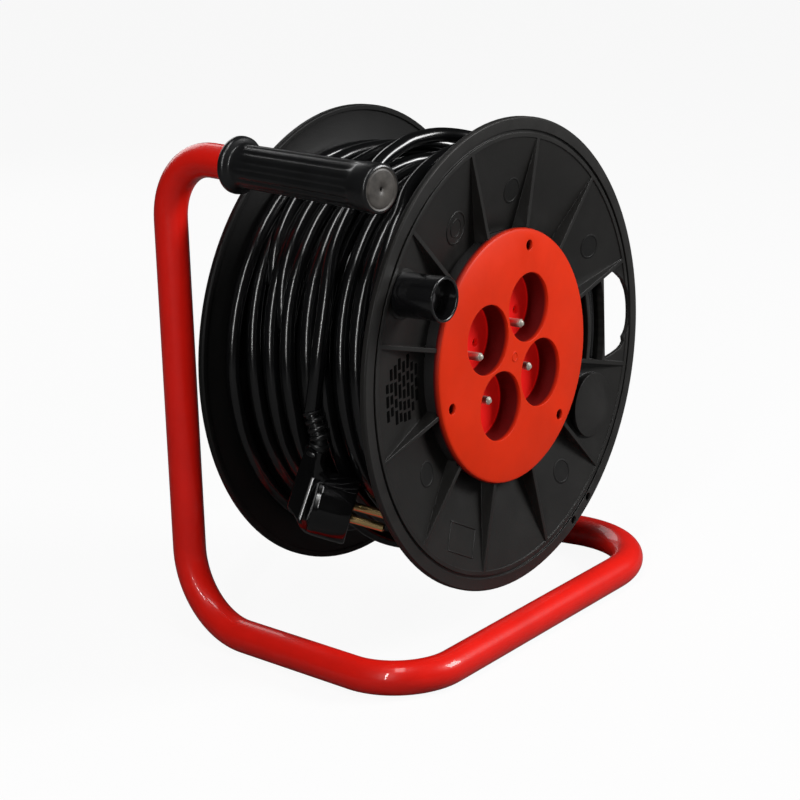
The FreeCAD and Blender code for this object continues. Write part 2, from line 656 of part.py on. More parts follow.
def plug_body():
    disc = Part.makeCylinder(18.4, 15.0, plug_point(1.6, 0, 0), PIN_DIR)
    # (side, cord) corners of the back and of the section behind the disc
    back = plug_section(-17.0, [(-8.5, -11.0), (8.5, -11.0), (8.5, 20.0), (-8.5, 20.0)])
    front = plug_section(1.8, [(-15.5, -15.5), (15.5, -15.5), (12.0, 16.0), (-12.0, 16.0)])
    loft = Part.makeLoft([back, front], True, True)
    neck = Part.makeCone(8.4, 6.3, 19.0, plug_point(-11.0, 0, 8.0), CORD_DIR)
    neck_end = plug_point(-11.0, 0, 27.0)
    relief = sweep_spline([neck_end - CORD_DIR * 0.5, neck_end + CORD_DIR * 6.0, RELIEF_END],
                          5.6)
    body = fuse([disc, loft, neck, relief])
    # keep clear of the coil
    body = largest(body.cut(cyl(COIL_RO + 0.2, -60, 60)))
    body = cut_all(body, [pin_cylinder(2.0, 9.0, point, 8.0) for point in PLUG_PINS])
    return body.cut(pin_cylinder(3.3, 14.0, PLUG_EARTH, 13.0))


def cable_free_end():
    points = [RELIEF_END] + [polar(FREE_R, angle, y) for angle, y in FREE_STATIONS]
    return largest(sweep_spline(points, CABLE_R).cut(plug_body()))


def plug_pins():
    length, root = 18.2, 7.6
    pins = []
    for point in PLUG_PINS:
        pin = pin_cylinder(PIN_R, length, point, 0).fuse(pin_cylinder(2.0, root, point, root))
        tip = Part.makeCone(PIN_R, 1.5, 0.9, point + PIN_DIR * length, PIN_DIR)
        pins.append(pin.fuse(tip).removeSplitter())
    return Part.makeCompound(pins)


def plug_earth_socket():
    sleeve = pin_cylinder(3.3, 12.4, PLUG_EARTH, 12.9)
    return sleeve.cut(pin_cylinder(2.5, 11.0, PLUG_EARTH, 11.4))


# ---------------------------------------------------------------- winding knob
def knob_spigot():
    spigot = stepped([(12.0, -53.6, -51.6), (8.0, -57.0, -53.6), (7.2, -72.0, -57.0)], KNOB)
    return spigot.cut(cyl(1.6, -73.0, -58.0, KNOB))


def winding_knob():
    tip, base = -84.0, -57.15
    knob = cyl(12.3, tip, base, KNOB).cut(cyl(10.5, tip - 1, -72.0, KNOB))
    return knob.cut(cyl(7.25, -73.0, -50.0, KNOB))


def knob_washer():
    return washer(9.6, 1.75, -73.3, -72.1, KNOB)


def knob_screw():
    return stepped([(3.2, -75.3, -73.3), (1.6, -73.3, -59.0)], KNOB)


# each piece is written under its function's name
PIECES = [
    frame_tube, axle_boss, boss_gusset, handle_grip,
    axle_spindle, axle_spacer, rear_thrust_washer, front_thrust_washer, axle_nut, nut_washer,
    front_flange, rear_flange, rear_hub_bush, front_hub_bush, drum_barrel, tie_screws,
    socket_plate, plate_screws, earth_busbar, contact_carrier, earth_pins,
    live_contacts, neutral_contacts, live_busbar, neutral_busbar, carrier_screws,
    thermal_cutout, inner_lead, cable_clamp, clamp_screws, live_wire, neutral_wire, earth_wire,
    cable_coil, plug_body, cable_free_end, plug_pins, plug_earth_socket,
    knob_spigot, winding_knob, knob_washer, knob_screw]
for piece in PIECES:
    export(piece.__name__, piece())
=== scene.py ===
# A cable drum on a red bent-tube stand. The drum turns on an axis along y; its outlet plate faces -y.
# The stand's post is at -x, +y, and its grip reaches forward (-y) over the drum. The floor is z = 0.
# Pieces are drawn in millimetres with the drum axis at x = 0, z = AXIS_Z and the winding's middle
# at y = 0, then shifted by ORIGIN into the row frame.
import bpy
import json
import math
import random
import numpy as np
from mathutils import Vector, Matrix


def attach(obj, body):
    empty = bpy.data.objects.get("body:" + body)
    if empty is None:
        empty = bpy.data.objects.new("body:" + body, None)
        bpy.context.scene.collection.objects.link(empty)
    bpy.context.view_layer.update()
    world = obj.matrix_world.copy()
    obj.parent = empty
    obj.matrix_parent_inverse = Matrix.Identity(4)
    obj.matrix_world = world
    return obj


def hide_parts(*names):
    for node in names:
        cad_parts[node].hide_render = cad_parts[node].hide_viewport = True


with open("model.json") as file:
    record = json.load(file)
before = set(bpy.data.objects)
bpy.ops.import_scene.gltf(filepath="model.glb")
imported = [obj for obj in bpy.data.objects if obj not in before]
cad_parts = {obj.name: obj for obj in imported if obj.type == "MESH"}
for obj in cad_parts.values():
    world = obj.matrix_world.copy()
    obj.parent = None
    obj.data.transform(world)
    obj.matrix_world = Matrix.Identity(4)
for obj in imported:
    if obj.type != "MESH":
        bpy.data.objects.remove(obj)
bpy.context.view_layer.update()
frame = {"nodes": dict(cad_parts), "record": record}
random.seed(7)

ORIGIN = np.array([-1.86, -6.08, 0.0])
MM = 0.001
AXIS_Z = 161.2
CABLE_RADIUS = 4.2
TUBE_RADIUS = 9.5


# ------------------------------------------------------------------ geometry helpers
def vec(*values):
    return np.array(values, float)


def unit(v):
    return v / np.linalg.norm(v)


def to_metres(points):
    return (np.asarray(points, float) + ORIGIN) * MM


def polar(radius, angle, y):
    """Point around the drum axis; the angle is in degrees from +x towards +z."""
    a = math.radians(angle)
    return vec(radius * math.cos(a), y, AXIS_Z + radius * math.sin(a))


DRUM_CENTER = vec(0, 0, AXIS_Z)
FORWARD = vec(0, -1, 0)


def add_piece(name, mesh, body, slot, material=None, replaces=None, split=None):
    """Adds (vertices, faces) as a smooth object; the material is the slot's unless given."""
    vertices, faces = mesh
    data = bpy.data.meshes.new(name)
    data.from_pydata([tuple(p) for p in to_metres(vertices)], [], faces)
    data.validate()
    data.update()
    for polygon in data.polygons:
        polygon.use_smooth = True
    piece = bpy.data.objects.new(name, data)
    bpy.context.scene.collection.objects.link(piece)
    data.materials.append(materials[material or slot])
    if split:
        split_edges(piece, split)
    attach(piece, body)
    if replaces:
        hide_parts(replaces)


def split_edges(piece, degrees):
    modifier = piece.modifiers.new("split", "EDGE_SPLIT")
    modifier.split_angle = math.radians(degrees)


def ring_faces(count, segments):
    """Quads joining `count` closed rings of `segments` points."""
    faces = []
    for i in range(count - 1):
        for j in range(segments):
            here, beside = i * segments + j, i * segments + (j + 1) % segments
            faces.append((here, beside, beside + segments, here + segments))
    return faces


def merge(meshes):
    vertices, faces = [], []
    for part_vertices, part_faces in meshes:
        offset = len(vertices)
        vertices += list(part_vertices)
        faces += [tuple(i + offset for i in face) for face in part_faces]
    return vertices, faces


def side_vectors(path):
    """Two side vectors per point, carried along the path without twist."""
    tangents = np.gradient(path, axis=0)
    tangents /= np.linalg.norm(tangents, axis=1)[:, None]
    side = np.cross(tangents[0], vec(0, 0, 1))
    if np.linalg.norm(side) < 0.2:  # the path starts nearly upright
        side = np.cross(tangents[0], vec(1, 0, 0))
    side = unit(side)
    pairs = []
    for tangent in tangents:
        side = unit(side - tangent * side.dot(tangent))
        pairs.append((side, np.cross(tangent, side)))
    return pairs


def sweep(path, radius, segments):
    """Capped tube along a path. The radius is one number or one per point."""
    path = np.asarray(path, float)
    count = len(path)
    radii = np.full(count, radius, float) if np.isscalar(radius) else radius
    vertices = []
    for point, r, (side, other) in zip(path, radii, side_vectors(path)):
        for k in range(segments):
            a = 2 * math.pi * k / segments
            vertices.append(point + r * (side * math.cos(a) + other * math.sin(a)))
    faces = [face[::-1] for face in ring_faces(count, segments)]
    faces.append(tuple(range(segments)))
    faces.append(tuple(range((count - 1) * segments, count * segments))[::-1])
    return vertices, faces


def revolve(profile, origin, axis, segments, shape=None):
    """Turns (radius, height) points; shape(radius, height, angle) may change the radius."""
    axis = unit(axis)
    x = unit(np.cross(axis, vec(0, 0, 1)))
    y = np.cross(axis, x)
    vertices = []
    for radius, height in profile:
        for k in range(segments):
            a = 2 * math.pi * k / segments
            r = shape(radius, height, a) if shape else radius
            vertices.append(origin + axis * height + r * (x * math.cos(a) + y * math.sin(a)))
    return vertices, ring_faces(len(profile), segments)


def fillet(corners, steps):
    """Rounds an open outline of (x, y, corner radius); a zero radius keeps the corner."""
    points = [vec(*corner[:2]) for corner in corners]
    out = [points[0]]
    for i in range(1, len(points) - 1):
        corner, radius = points[i], corners[i][2]
        if radius == 0:
            out.append(corner)
            continue
        back, ahead = points[i - 1] - corner, points[i + 1] - corner
        back_length, ahead_length = np.linalg.norm(back), np.linalg.norm(ahead)
        back, ahead = back / back_length, ahead / ahead_length
        angle = math.acos(back.dot(ahead))
        setback = min(radius / math.tan(angle / 2), 0.48 * back_length, 0.48 * ahead_length)
        start, end = corner + back * setback, corner + ahead * setback
        for k in range(steps + 1):
            t = k / steps
            out.append((1 - t) ** 2 * start + 2 * t * (1 - t) * corner + t * t * end)
    out.append(points[-1])
    return out


def smooth_path(keys, steps):
    """Catmull-Rom curve through the keys."""
    keys = [np.asarray(key, float) for key in keys]
    keys = [2 * keys[0] - keys[1]] + keys + [2 * keys[-1] - keys[-2]]
    out = []
    for a, b, c, d in zip(keys, keys[1:], keys[2:], keys[3:]):
        for k in range(steps):
            t = k / steps
            out.append(0.5 * ((2 * b) + (-a + c) * t + (2 * a - 5 * b + 4 * c - d) * t * t
                              + (-a + 3 * b - 3 * c + d) * t ** 3))
    out.append(keys[-2])
    return out


# ------------------------------------------------------------------ materials
def add_node(tree, kind, inputs, **settings):
    """New shader node. An input given as a socket is linked; any other is a value."""
    node = tree.nodes.new(kind)
    for key, value in settings.items():
        setattr(node, key, value)
    set_inputs(tree, node, inputs)
    return node


def set_inputs(tree, node, inputs):
    for key, value in inputs.items():
        if isinstance(value, bpy.types.NodeSocket):
            tree.links.new(value, node.inputs[key])
        else:
            node.inputs[key].default_value = value


def add_ramp(tree, factor, low, high, colors=None):
    ramp = add_node(tree, "ShaderNodeValToRGB", {"Fac": factor})
    ends = ramp.color_ramp.elements
    ends[0].position, ends[1].position = low, high
    if colors:
        ends[0].color, ends[1].color = colors
    return ramp.outputs["Color"]


def add_mix(tree, factor, a, b):
    return add_node(tree, "ShaderNodeMix", {"Factor": factor, "A": a, "B": b},
                    data_type="RGBA").outputs["Result"]


def make_material(name, color, rough, metal=0.0, coat=0.0, coat_rough=0.1, specular=0.5,
                  mottle=0.12, mottle_scale=40.0,  # share of light and dark in the colour
                  rough_spread=0.06, scratch=0.0,  # roughness to either side, and in scratches
                  grain=0.0, grain_scale=900.0,    # fine bumps
                  peel=0.0, peel_scale=260.0,      # soft, wider bumps
                  bevel=0.0,                       # shaded edge radius, mm
                  edge=0.0, edge_color=None):      # wear on outward edges
    material = bpy.data.materials.new(name)
    material.use_nodes = True
    tree = material.node_tree
    coordinates = add_node(tree, "ShaderNodeTexCoord", {}).outputs["Object"]
    mapping = add_node(tree, "ShaderNodeMapping", {"Vector": coordinates}).outputs["Vector"]

    def noise(scale, detail, roughness=0.55):
        return add_node(tree, "ShaderNodeTexNoise", {
            "Scale": scale, "Detail": detail, "Roughness": roughness,
            "Vector": mapping}).outputs["Fac"]

    dark = [max(0.0, c * (1 - mottle)) for c in color]
    light = [min(1.0, c * (1 + mottle)) for c in color]
    base = add_ramp(tree, noise(mottle_scale, 4.0), 0.32, 0.68, ((*dark, 1), (*light, 1)))
    if edge > 0:
        pointiness = add_node(tree, "ShaderNodeNewGeometry", {}).outputs["Pointiness"]
        worn = add_node(tree, "ShaderNodeMath", {
            0: add_ramp(tree, pointiness, 0.52, 0.60), 1: edge}, operation="MULTIPLY")
        edge_color = edge_color or [min(1, c * 2.2) for c in color]
        base = add_mix(tree, worn.outputs[0], base, (*edge_color, 1))
    roughness = add_node(tree, "ShaderNodeMapRange", {
        "Value": noise(mottle_scale * 2.3, 6.0),
        "To Min": max(0.02, rough - rough_spread),
        "To Max": min(1.0, rough + rough_spread)}).outputs["Result"]
    if scratch > 0:
        marks = add_ramp(tree, noise(220.0, 8.0, 0.7), 0.60, 0.72)
        roughness = add_node(tree, "ShaderNodeMath", {0: marks, 1: scratch, 2: roughness},
                             operation="MULTIPLY_ADD").outputs[0]
    shader = tree.nodes["Principled BSDF"]
    set_inputs(tree, shader, {
        "Base Color": base, "Roughness": roughness, "Metallic": metal,
        "Specular IOR Level": specular, "Coat Weight": coat, "Coat Roughness": coat_rough})
    normal = None
    if bevel > 0:
        normal = add_node(tree, "ShaderNodeBevel", {"Radius": bevel * MM},
                          samples=6).outputs["Normal"]
    for strength, scale, depth in ((peel, peel_scale, 0.0004), (grain, grain_scale, 0.00012)):
        if strength > 0:
            bump = add_node(tree, "ShaderNodeBump", {
                "Strength": strength, "Distance": depth, "Height": noise(scale, 3.0)})
            if normal:
                tree.links.new(normal, bump.inputs["Normal"])
            normal = bump.outputs["Normal"]
    if normal:
        tree.links.new(normal, shader.inputs["Normal"])
    return material


LOOKS = {
    "red_powder_coat": dict(
        color=(0.86, 0.0130, 0.0070), rough=0.34, coat=0.42, coat_rough=0.06, specular=0.22,
        mottle=0.06, peel=0.22, peel_scale=420, scratch=0.05, bevel=0.6),
    "outlet_plastic": dict(
        color=(0.80, 0.029, 0.0020), rough=0.42, specular=0.20, coat_rough=0.28,
        mottle=0.05, grain=0.25, bevel=0.7, edge=0.08, edge_color=(0.9, 0.08, 0.02)),
    "flange_plastic": dict(
        color=(0.0098, 0.0092, 0.0084), rough=0.42, specular=0.4, mottle=0.22, mottle_scale=24,
        grain=0.50, grain_scale=1100, bevel=0.5, rough_spread=0.08, scratch=0.10,
        edge=0.25, edge_color=(0.06, 0.058, 0.056)),
    # darker copy of the flange plastic: painted shade on the rear flange
    "rear_flange_painted_shade": dict(
        color=(0.0050, 0.0049, 0.0048), rough=0.45, specular=0.28, mottle=0.2, mottle_scale=24,
        grain=0.5, grain_scale=1100, bevel=0.5, edge=0.15),
    "barrel_plastic": dict(color=(0.014, 0.013, 0.013), rough=0.5, grain=0.4, bevel=0.4),
    "disc_plastic": dict(
        color=(0.0060, 0.0058, 0.0054), rough=0.55, specular=0.25, mottle=0.35,
        mottle_scale=90, grain=0.6, grain_scale=900),
    # near-black, barely reflecting plastic: painted shade for the dark dash slots
    "dash_painted_shade": dict(
        color=(0.0012, 0.0012, 0.0012), rough=0.85, specular=0.03, grain=0.3, mottle=0.2),
    "cable_pvc": dict(
        color=(0.0030, 0.0031, 0.0034), rough=0.22, coat=0.28, coat_rough=0.12, mottle=0.25,
        peel=0.10, peel_scale=160, rough_spread=0.05),
    "relief_pvc": dict(
        color=(0.0050, 0.0050, 0.0052), rough=0.33, mottle=0.2, grain=0.3, bevel=0.2),
    "plug_plastic": dict(
        color=(0.0022, 0.0022, 0.0024), rough=0.13, rough_spread=0.02, specular=0.40, coat=0.2,
        coat_rough=0.05, mottle=0.2, grain=0.06, grain_scale=1300, bevel=0.3, edge=0.15),
    "grip_rubber": dict(
        color=(0.0070, 0.0072, 0.0076), rough=0.31, coat=0.25, coat_rough=0.2, mottle=0.2,
        grain=0.3, grain_scale=1200, edge=0.15),
    "grip_end": dict(
        color=(0.062, 0.056, 0.050), rough=0.46, mottle=0.45, mottle_scale=170,
        grain=0.4, grain_scale=1200),
    "knob_plastic": dict(
        color=(0.0050, 0.0050, 0.0054), rough=0.22, coat=0.5, mottle=0.2, peel=0.08, bevel=0.3),
    "zinc_steel": dict(
        color=(0.62, 0.62, 0.62), rough=0.30, metal=1.0, mottle=0.08, peel=0.15,
        peel_scale=700, bevel=0.3),
    "nickel_pin": dict(
        color=(0.76, 0.71, 0.62), rough=0.32, metal=0.70, mottle=0.06, peel=0.08,
        peel_scale=900, bevel=0.4),
    "contact_brass": dict(
        color=(0.83, 0.58, 0.26), rough=0.22, metal=1.0, mottle=0.10, peel=0.10,
        peel_scale=700, bevel=0.3),
    "carrier_plastic": dict(color=(0.60, 0.58, 0.53), rough=0.5, grain=0.3, bevel=0.4),
    "bush_acetal": dict(color=(0.75, 0.75, 0.72), rough=0.35, grain=0.2, bevel=0.4),
    "cutout_case": dict(color=(0.03, 0.03, 0.032), rough=0.5, grain=0.4, bevel=0.4),
    "wire_live": dict(color=(0.17, 0.06, 0.022), rough=0.3, mottle=0.1, peel=0.1),
    "wire_neutral": dict(color=(0.025, 0.11, 0.50), rough=0.3, mottle=0.1, peel=0.1),
    "wire_earth": dict(
        color=(0.28, 0.48, 0.03), rough=0.3, mottle=0.3, mottle_scale=160, peel=0.1),
}
materials = {name: make_material(name, **look) for name, look in LOOKS.items()}


def paint_well_shade_and_light(material):
    """Paints shade by darkening the outlet plate behind its face, and paints light on the floors of
    its wells as a red glow.
    """
    well_mouth = (-60.7 + ORIGIN[1]) * MM
    well_floor = (-60.7 + 15.0 + ORIGIN[1]) * MM
    tree = material.node_tree
    shader = tree.nodes["Principled BSDF"]
    plate_color = shader.inputs["Base Color"].links[0].from_socket
    coordinates = add_node(tree, "ShaderNodeTexCoord", {}).outputs["Object"]
    y = add_node(tree, "ShaderNodeSeparateXYZ", {0: coordinates}).outputs["Y"]

    def depth_factor(start, end):
        return add_node(tree, "ShaderNodeMapRange", {
            "Value": y, "From Min": start, "From Max": end}).outputs["Result"]

    wall_shade_mask = depth_factor(well_mouth, well_mouth + 0.0030)
    floor_light_mask = depth_factor(well_floor - 0.0012, well_floor - 0.0002)
    # painted shade: dark red down the well walls
    color = add_mix(tree, wall_shade_mask, plate_color, (0.105, 0.0048, 0.0050, 1))
    # painted light: bright red colour and a faint red emission on the well floors
    color = add_mix(tree, floor_light_mask, color, (0.90, 0.012, 0.010, 1))
    painted_floor_glow = add_node(tree, "ShaderNodeMath", {0: floor_light_mask, 1: 0.16}, operation="MULTIPLY")
    set_inputs(tree, shader, {
        "Base Color": color, "Emission Color": (0.90, 0.010, 0.008, 1),
        "Emission Strength": painted_floor_glow.outputs[0]})


paint_well_shade_and_light(materials["outlet_plastic"])

# CAD pieces take the material of their slot, but the rear flange gets a darker copy of the flange
# plastic as painted shade, where the front flange shades it.
for record in frame["record"]["subparts"]:
    is_rear = record["node"] == "rear_flange"
    piece = frame["nodes"][record["node"]]
    piece.data.materials.clear()
    piece.data.materials.append(materials["rear_flange_painted_shade" if is_rear else record["material_slot"]])
    for polygon in piece.data.polygons:
        polygon.use_smooth = True
        polygon.material_index = 0
    weld = piece.modifiers.new("weld", "WELD")
    weld.merge_threshold = 1e-6
    split_edges(piece, 28)

# ------------------------------------------------------------------ stand tube
GRIP_YAW = math.radians(6.52)
GRIP_RUN = vec(-math.sin(GRIP_YAW), -math.cos(GRIP_YAW), -0.024)
POST_TOP = vec(-115, 90.2, 283.2)
STRUT_FOOT = vec(130.9, 84, TUBE_RADIUS)
BOSS = vec(0, 84, AXIS_Z)
# From the grip end down the post, round the floor and up the strut to the boss.
TUBE_CORNERS = [
    POST_TOP + GRIP_RUN * 158.0, POST_TOP, vec(-115, 90.2, TUBE_RADIUS),
    vec(-134.5, -80.6, TUBE_RADIUS), vec(146.5, -71.8, TUBE_RADIUS), STRUT_FOOT, BOSS]
BEND_RADII = [36.6, 44.3, 35.4, 59.4, 45.0]
BOSS_CLEARANCE = 12.5  # the tube stops this far from the boss centre


def bent_path(points, radii):
    """Straight runs joined by circular bends at the inner points."""
    path = [points[0]]

    def run_to(end):
        start = path[-1]
        count = max(2, int(np.linalg.norm(end - start) / 12))
        for k in range(1, count + 1):
            path.append(start + (end - start) * k / count)

    for before, corner, after, radius in zip(points, points[1:], points[2:], radii):
        back, ahead = unit(before - corner), unit(after - corner)
        angle = math.acos(back.dot(ahead))
        setback = radius / math.tan(angle / 2)
        run_to(corner + back * setback)
        center = corner + unit(back + ahead) * (radius / math.sin(angle / 2))
        first = corner + back * setback - center
        last = corner + ahead * setback - center
        turn = math.acos(unit(first).dot(unit(last)))
        count = max(8, int(radius * turn / 3.0))
        for k in range(1, count + 1):
            a = turn * k / count
            path.append(center + (first * math.sin(turn - a) + last * math.sin(a))
                        / math.sin(turn))
    run_to(points[-1])
    return path


tube_path = [p for p in bent_path(TUBE_CORNERS, BEND_RADII)
             if np.linalg.norm(p - BOSS) > BOSS_CLEARANCE]
add_piece("stand_tube", sweep(tube_path, TUBE_RADIUS, 48), "frame", "red_powder_coat",
          replaces="frame_tube", split=50)


def weld_bead():
    """Uneven bead where the strut meets the round boss."""
    ring_radius, boss_radius = 10.2, 15.6
    strut = unit(BOSS - STRUT_FOOT)
    along = vec(0, 1, 0)
    across = np.cross(strut, along)
    path = []
    for k in range(60):
        a = 2 * math.pi * k / 60
        offset = along * math.cos(a) * ring_radius + across * math.sin(a) * ring_radius
        reach = math.sqrt(boss_radius ** 2 - (ring_radius * math.sin(a)) ** 2)
        path.append(BOSS - strut * reach + offset)
    path += path[:2]
    return sweep(path, [1.7 + 0.35 * math.sin(k * 2.4) for k in range(len(path))], 10)


add_piece("boss_weld", weld_bead(), "frame", "red_powder_coat")

# ------------------------------------------------------------------ hand grip
GRIP_AXIS = unit(GRIP_RUN)
GRIP_START = POST_TOP + GRIP_AXIS * 57.6
GRIP_LENGTH = 106.8
# (radius, height along the grip): collar, tapered body, plain end band
sleeve = [
    (9.6, 0.0), (14.9, 0.0), (15.6, 0.6), (15.7, 1.8), (15.5, 3.2), (14.4, 4.3), (12.6, 5.0),
    (11.9, 6.0), (11.8, 9.0)]
sleeve += [(11.8 + 0.7 * k / 26, 9.0 + (GRIP_LENGTH - 23.0) * k / 26) for k in range(1, 27)]
# (radius, distance short of the grip's end)
SLEEVE_END = [
    (12.7, 13), (12.95, 11.5), (12.98, 6), (12.98, 2.2), (12.85, 1.2), (12.4, 0.45),
    (11.8, 0.15), (11.3, 0)]
END_CAP = [
    (11.35, 0.05), (10.9, 0.25), (10.6, 0.5), (10.2, 0.5), (9.8, 0.2), (9.3, 0.1), (5.0, 0.05),
    (1.5, 0.05), (1.25, 0.3), (1.1, 1.4), (0.01, 1.4)]


def from_grip_end(profile):
    return [(radius, GRIP_LENGTH - short) for radius, short in profile]


def flute(radius, height, angle):
    """Fourteen lengthwise grooves that fade out at both ends of the body."""
    if height < 9.5 or height > GRIP_LENGTH - 13.5:
        return radius
    fade = min(1.0, (height - 9.5) / 5.0, (GRIP_LENGTH - 13.5 - height) / 4.0)
    wave = 0.5 + 0.5 * math.cos(angle * 14)
    return radius - 0.75 * fade * wave ** 2.2


add_piece("grip_sleeve",
          revolve(sleeve + from_grip_end(SLEEVE_END), GRIP_START, GRIP_AXIS, 196, flute),
          "frame", "grip_rubber", replaces="handle_grip")
add_piece("grip_end_cap", revolve(from_grip_end(END_CAP), GRIP_START, GRIP_AXIS, 72),
          "frame", "grip_rubber", material="grip_end")


# ------------------------------------------------------------------ windings
def cone_height(radius):
    """Distance of the flange cone's outer face from the winding's middle plane."""
    return 57.8 - (123.5 - radius) * 0.172


FLANGE_INSET = 6.85  # least distance of the wound cable's centre from the cone, along y


def wobble(seed, base=0.6):
    """Smooth wandering curve of five sines, within -1 to 1."""
    draws = random.Random(seed)
    waves = [(draws.uniform(0.5, 1.0) / (k + 1), base * (k + 1) * draws.uniform(0.7, 1.3),
              draws.uniform(0, 6.28)) for k in range(5)]
    total = sum(size for size, _, _ in waves)
    return lambda x: sum(size * math.sin(rate * x + shift) for size, rate, shift in waves) / total


def monotone_curve(xs, ys):
    """Cubic through the points that never overshoots them."""
    xs, ys = np.array(xs, float), np.array(ys, float)
    gaps = np.diff(xs)
    rise = np.diff(ys) / gaps
    slopes = np.zeros(len(xs))
    slopes[0], slopes[-1] = rise[0], rise[-1]
    for i in range(1, len(xs) - 1):
        before, after = rise[i - 1], rise[i]
        slopes[i] = 0 if before * after <= 0 else 2 * before * after / (before + after)

    def curve(x):
        i = int(min(max(np.searchsorted(xs, x) - 1, 0), len(xs) - 2))
        t = (x - xs[i]) / gaps[i]
        return ((1 + 2 * t) * (1 - t) ** 2 * ys[i] + t * (1 - t) ** 2 * gaps[i] * slopes[i]
                + t * t * (3 - 2 * t) * ys[i + 1] + t * t * (t - 1) * gaps[i] * slopes[i + 1])
    return curve


def winding(turns, y_at, radius_at, start=180.0):
    """Cable wound by y_at(turn) and radius_at(turn, angle), kept between the flanges."""
    step = 5.0
    path = []
    for k in range(int(turns * 360 / step) + 1):
        turn, angle = k * step / 360.0, start + k * step
        radius = radius_at(turn, angle)
        limit = cone_height(radius) - FLANGE_INSET
        path.append(polar(radius, angle, max(-limit, min(limit, y_at(turn)))))
    return sweep(path, CABLE_RADIUS, 16)


inner_radius, inner_y = wobble(11), wobble(12)
add_piece("cable_inner_layers", merge([
    winding(10.4, lambda turn: -44.5 + 8.58 * turn,
            lambda turn, angle: 91.6 + 0.5 * inner_radius(turn * 6)),
    winding(10.8, lambda turn: 46.6 - 8.62 * turn + 0.5 * inner_y(turn * 5),
            lambda turn, angle: 99.6 + 0.5 * inner_radius(turn * 4 + 3)),
]), "drum", "cable_pvc")

# y of each outer turn, from the rear (+y) to the front, at half turns
TURN_Y = [49.5, 39.7, 28.0, 15.1, 1.6, -9.5, -22.0, -33.0, -43.5]
# (angle, shift in y) repeated by every outer turn
LEAN = [(0, -4.0), (40, -8.0), (62, -9.0), (90, -5.0), (112, 2.0), (128, 5.0), (150, 3.5),
        (180, 0.0), (205, -1.5), (235, -4.5), (270, -7.0), (315, -6.0), (360, -4.0)]
lean_at = monotone_curve(*zip(*LEAN))
turn_y_at = monotone_curve([0.0] + [k + 0.5 for k in range(len(TURN_Y))], [50.0] + TURN_Y)
outer_radius, outer_y = wobble(21, base=0.9), wobble(22, base=0.9)


def outer_y_at(turn):
    return turn_y_at(turn) + lean_at((turn * 360.0) % 360.0) + 0.9 * outer_y(turn * 6.28)


def outer_radius_at(turn, angle):
    """The first turn rides high; the last ones sink on the +x side."""
    angle %= 360
    radius = 107.9 + 0.9 * outer_radius(turn * 6.28)
    if turn < 1.0:
        radius += 7.6 * math.sin(math.pi * turn) ** 2
    if turn > 7.2 and (angle < 40 or angle > 320):
        radius -= 2.5
    return radius


add_piece("cable_outer_layer", winding(8.95, outer_y_at, outer_radius_at, start=0.0),
          "drum", "cable_pvc", replaces="cable_coil")

# (angle, radius, y) along each loose turn that crosses the outer layer
LOOSE_TURNS = [
    [(165, 103, 25), (150, 109, 27), (135, 112, 27.5), (120, 113, 26), (104.7, 114, 19.5),
     (98, 115.5, 14.5), (90, 116, 8), (80, 115, 1), (66, 111.5, -5), (50, 106, -9),
     (38, 101.5, -11)],
    [(152, 103, 38), (138, 109, 41), (118, 111.5, 42), (102, 112.5, 38.5), (92, 112.5, 33),
     (82, 112, 25), (70, 110, 18), (55, 106, 13), (42, 101.5, 10)],
    [(165, 103, -38), (150, 108, -37.5), (133, 112, -35), (126, 112.5, -33.5),
     (118, 113.5, -29), (108, 114.5, -27), (96, 116, -28), (88, 115.5, -30), (74, 112, -34),
     (58, 106, -36.5), (46, 101.5, -37.5)],
    [(205, 102, 8), (222, 109, 6), (240, 114, 1), (258, 115.5, -8), (276, 114.5, -18),
     (296, 110, -27), (315, 102, -32)],
]


def loose_turn(keys):
    path = [polar(radius, angle, y) for angle, radius, y in smooth_path(keys, 14)]
    return sweep(path, CABLE_RADIUS, 16)


add_piece("cable_loose_turns", merge([loose_turn(keys) for keys in LOOSE_TURNS]),
          "drum", "cable_pvc")

# ------------------------------------------------------------------ plug
# Plug axes: p along the round disc's axis, q sideways, e towards the cord.
PLUG_CENTER = vec(-114.31, -10.48, 96.57)
AXIS_P = unit(vec(0.517, -0.804, -0.292))
AXIS_E = unit(np.cross(unit(vec(-0.826, -0.560, -0.057)), AXIS_P))
AXIS_Q = unit(np.cross(AXIS_P, AXIS_E))


def plug_point(p, q, e):
    return PLUG_CENTER + AXIS_P * p + AXIS_Q * q + AXIS_E * e


def loft(rings):
    """Joins rings and closes both ends with fans."""
    size = len(rings[0])
    vertices = [point for ring in rings for point in ring]
    faces = ring_faces(len(rings), size)
    vertices += [sum(rings[0]) / size, sum(rings[-1]) / size]
    last_ring = (len(rings) - 1) * size
    for k in range(size):
        after = (k + 1) % size
        faces.append((after, k, len(vertices) - 2))
        faces.append((last_ring + k, last_ring + after, len(vertices) - 1))
    return vertices, faces


def rounded_polygon(corners):
    """Closed outline of (x, y, cut) corners, each rounded over the length cut."""
    out = []
    for i, (x, y, cut) in enumerate(corners):
        corner = np.array([x, y])
        back = np.array(corners[i - 1][:2]) - corner
        ahead = np.array(corners[(i + 1) % len(corners)][:2]) - corner
        back_length, ahead_length = np.linalg.norm(back), np.linalg.norm(ahead)
        start = corner + back / back_length * min(cut, back_length * 0.45)
        end = corner + ahead / ahead_length * min(cut, ahead_length * 0.45)
        for k in range(6):
            t = k / 5
            out.append(start * (1 - t) ** 2 + corner * 2 * t * (1 - t) + end * t * t)
    return out


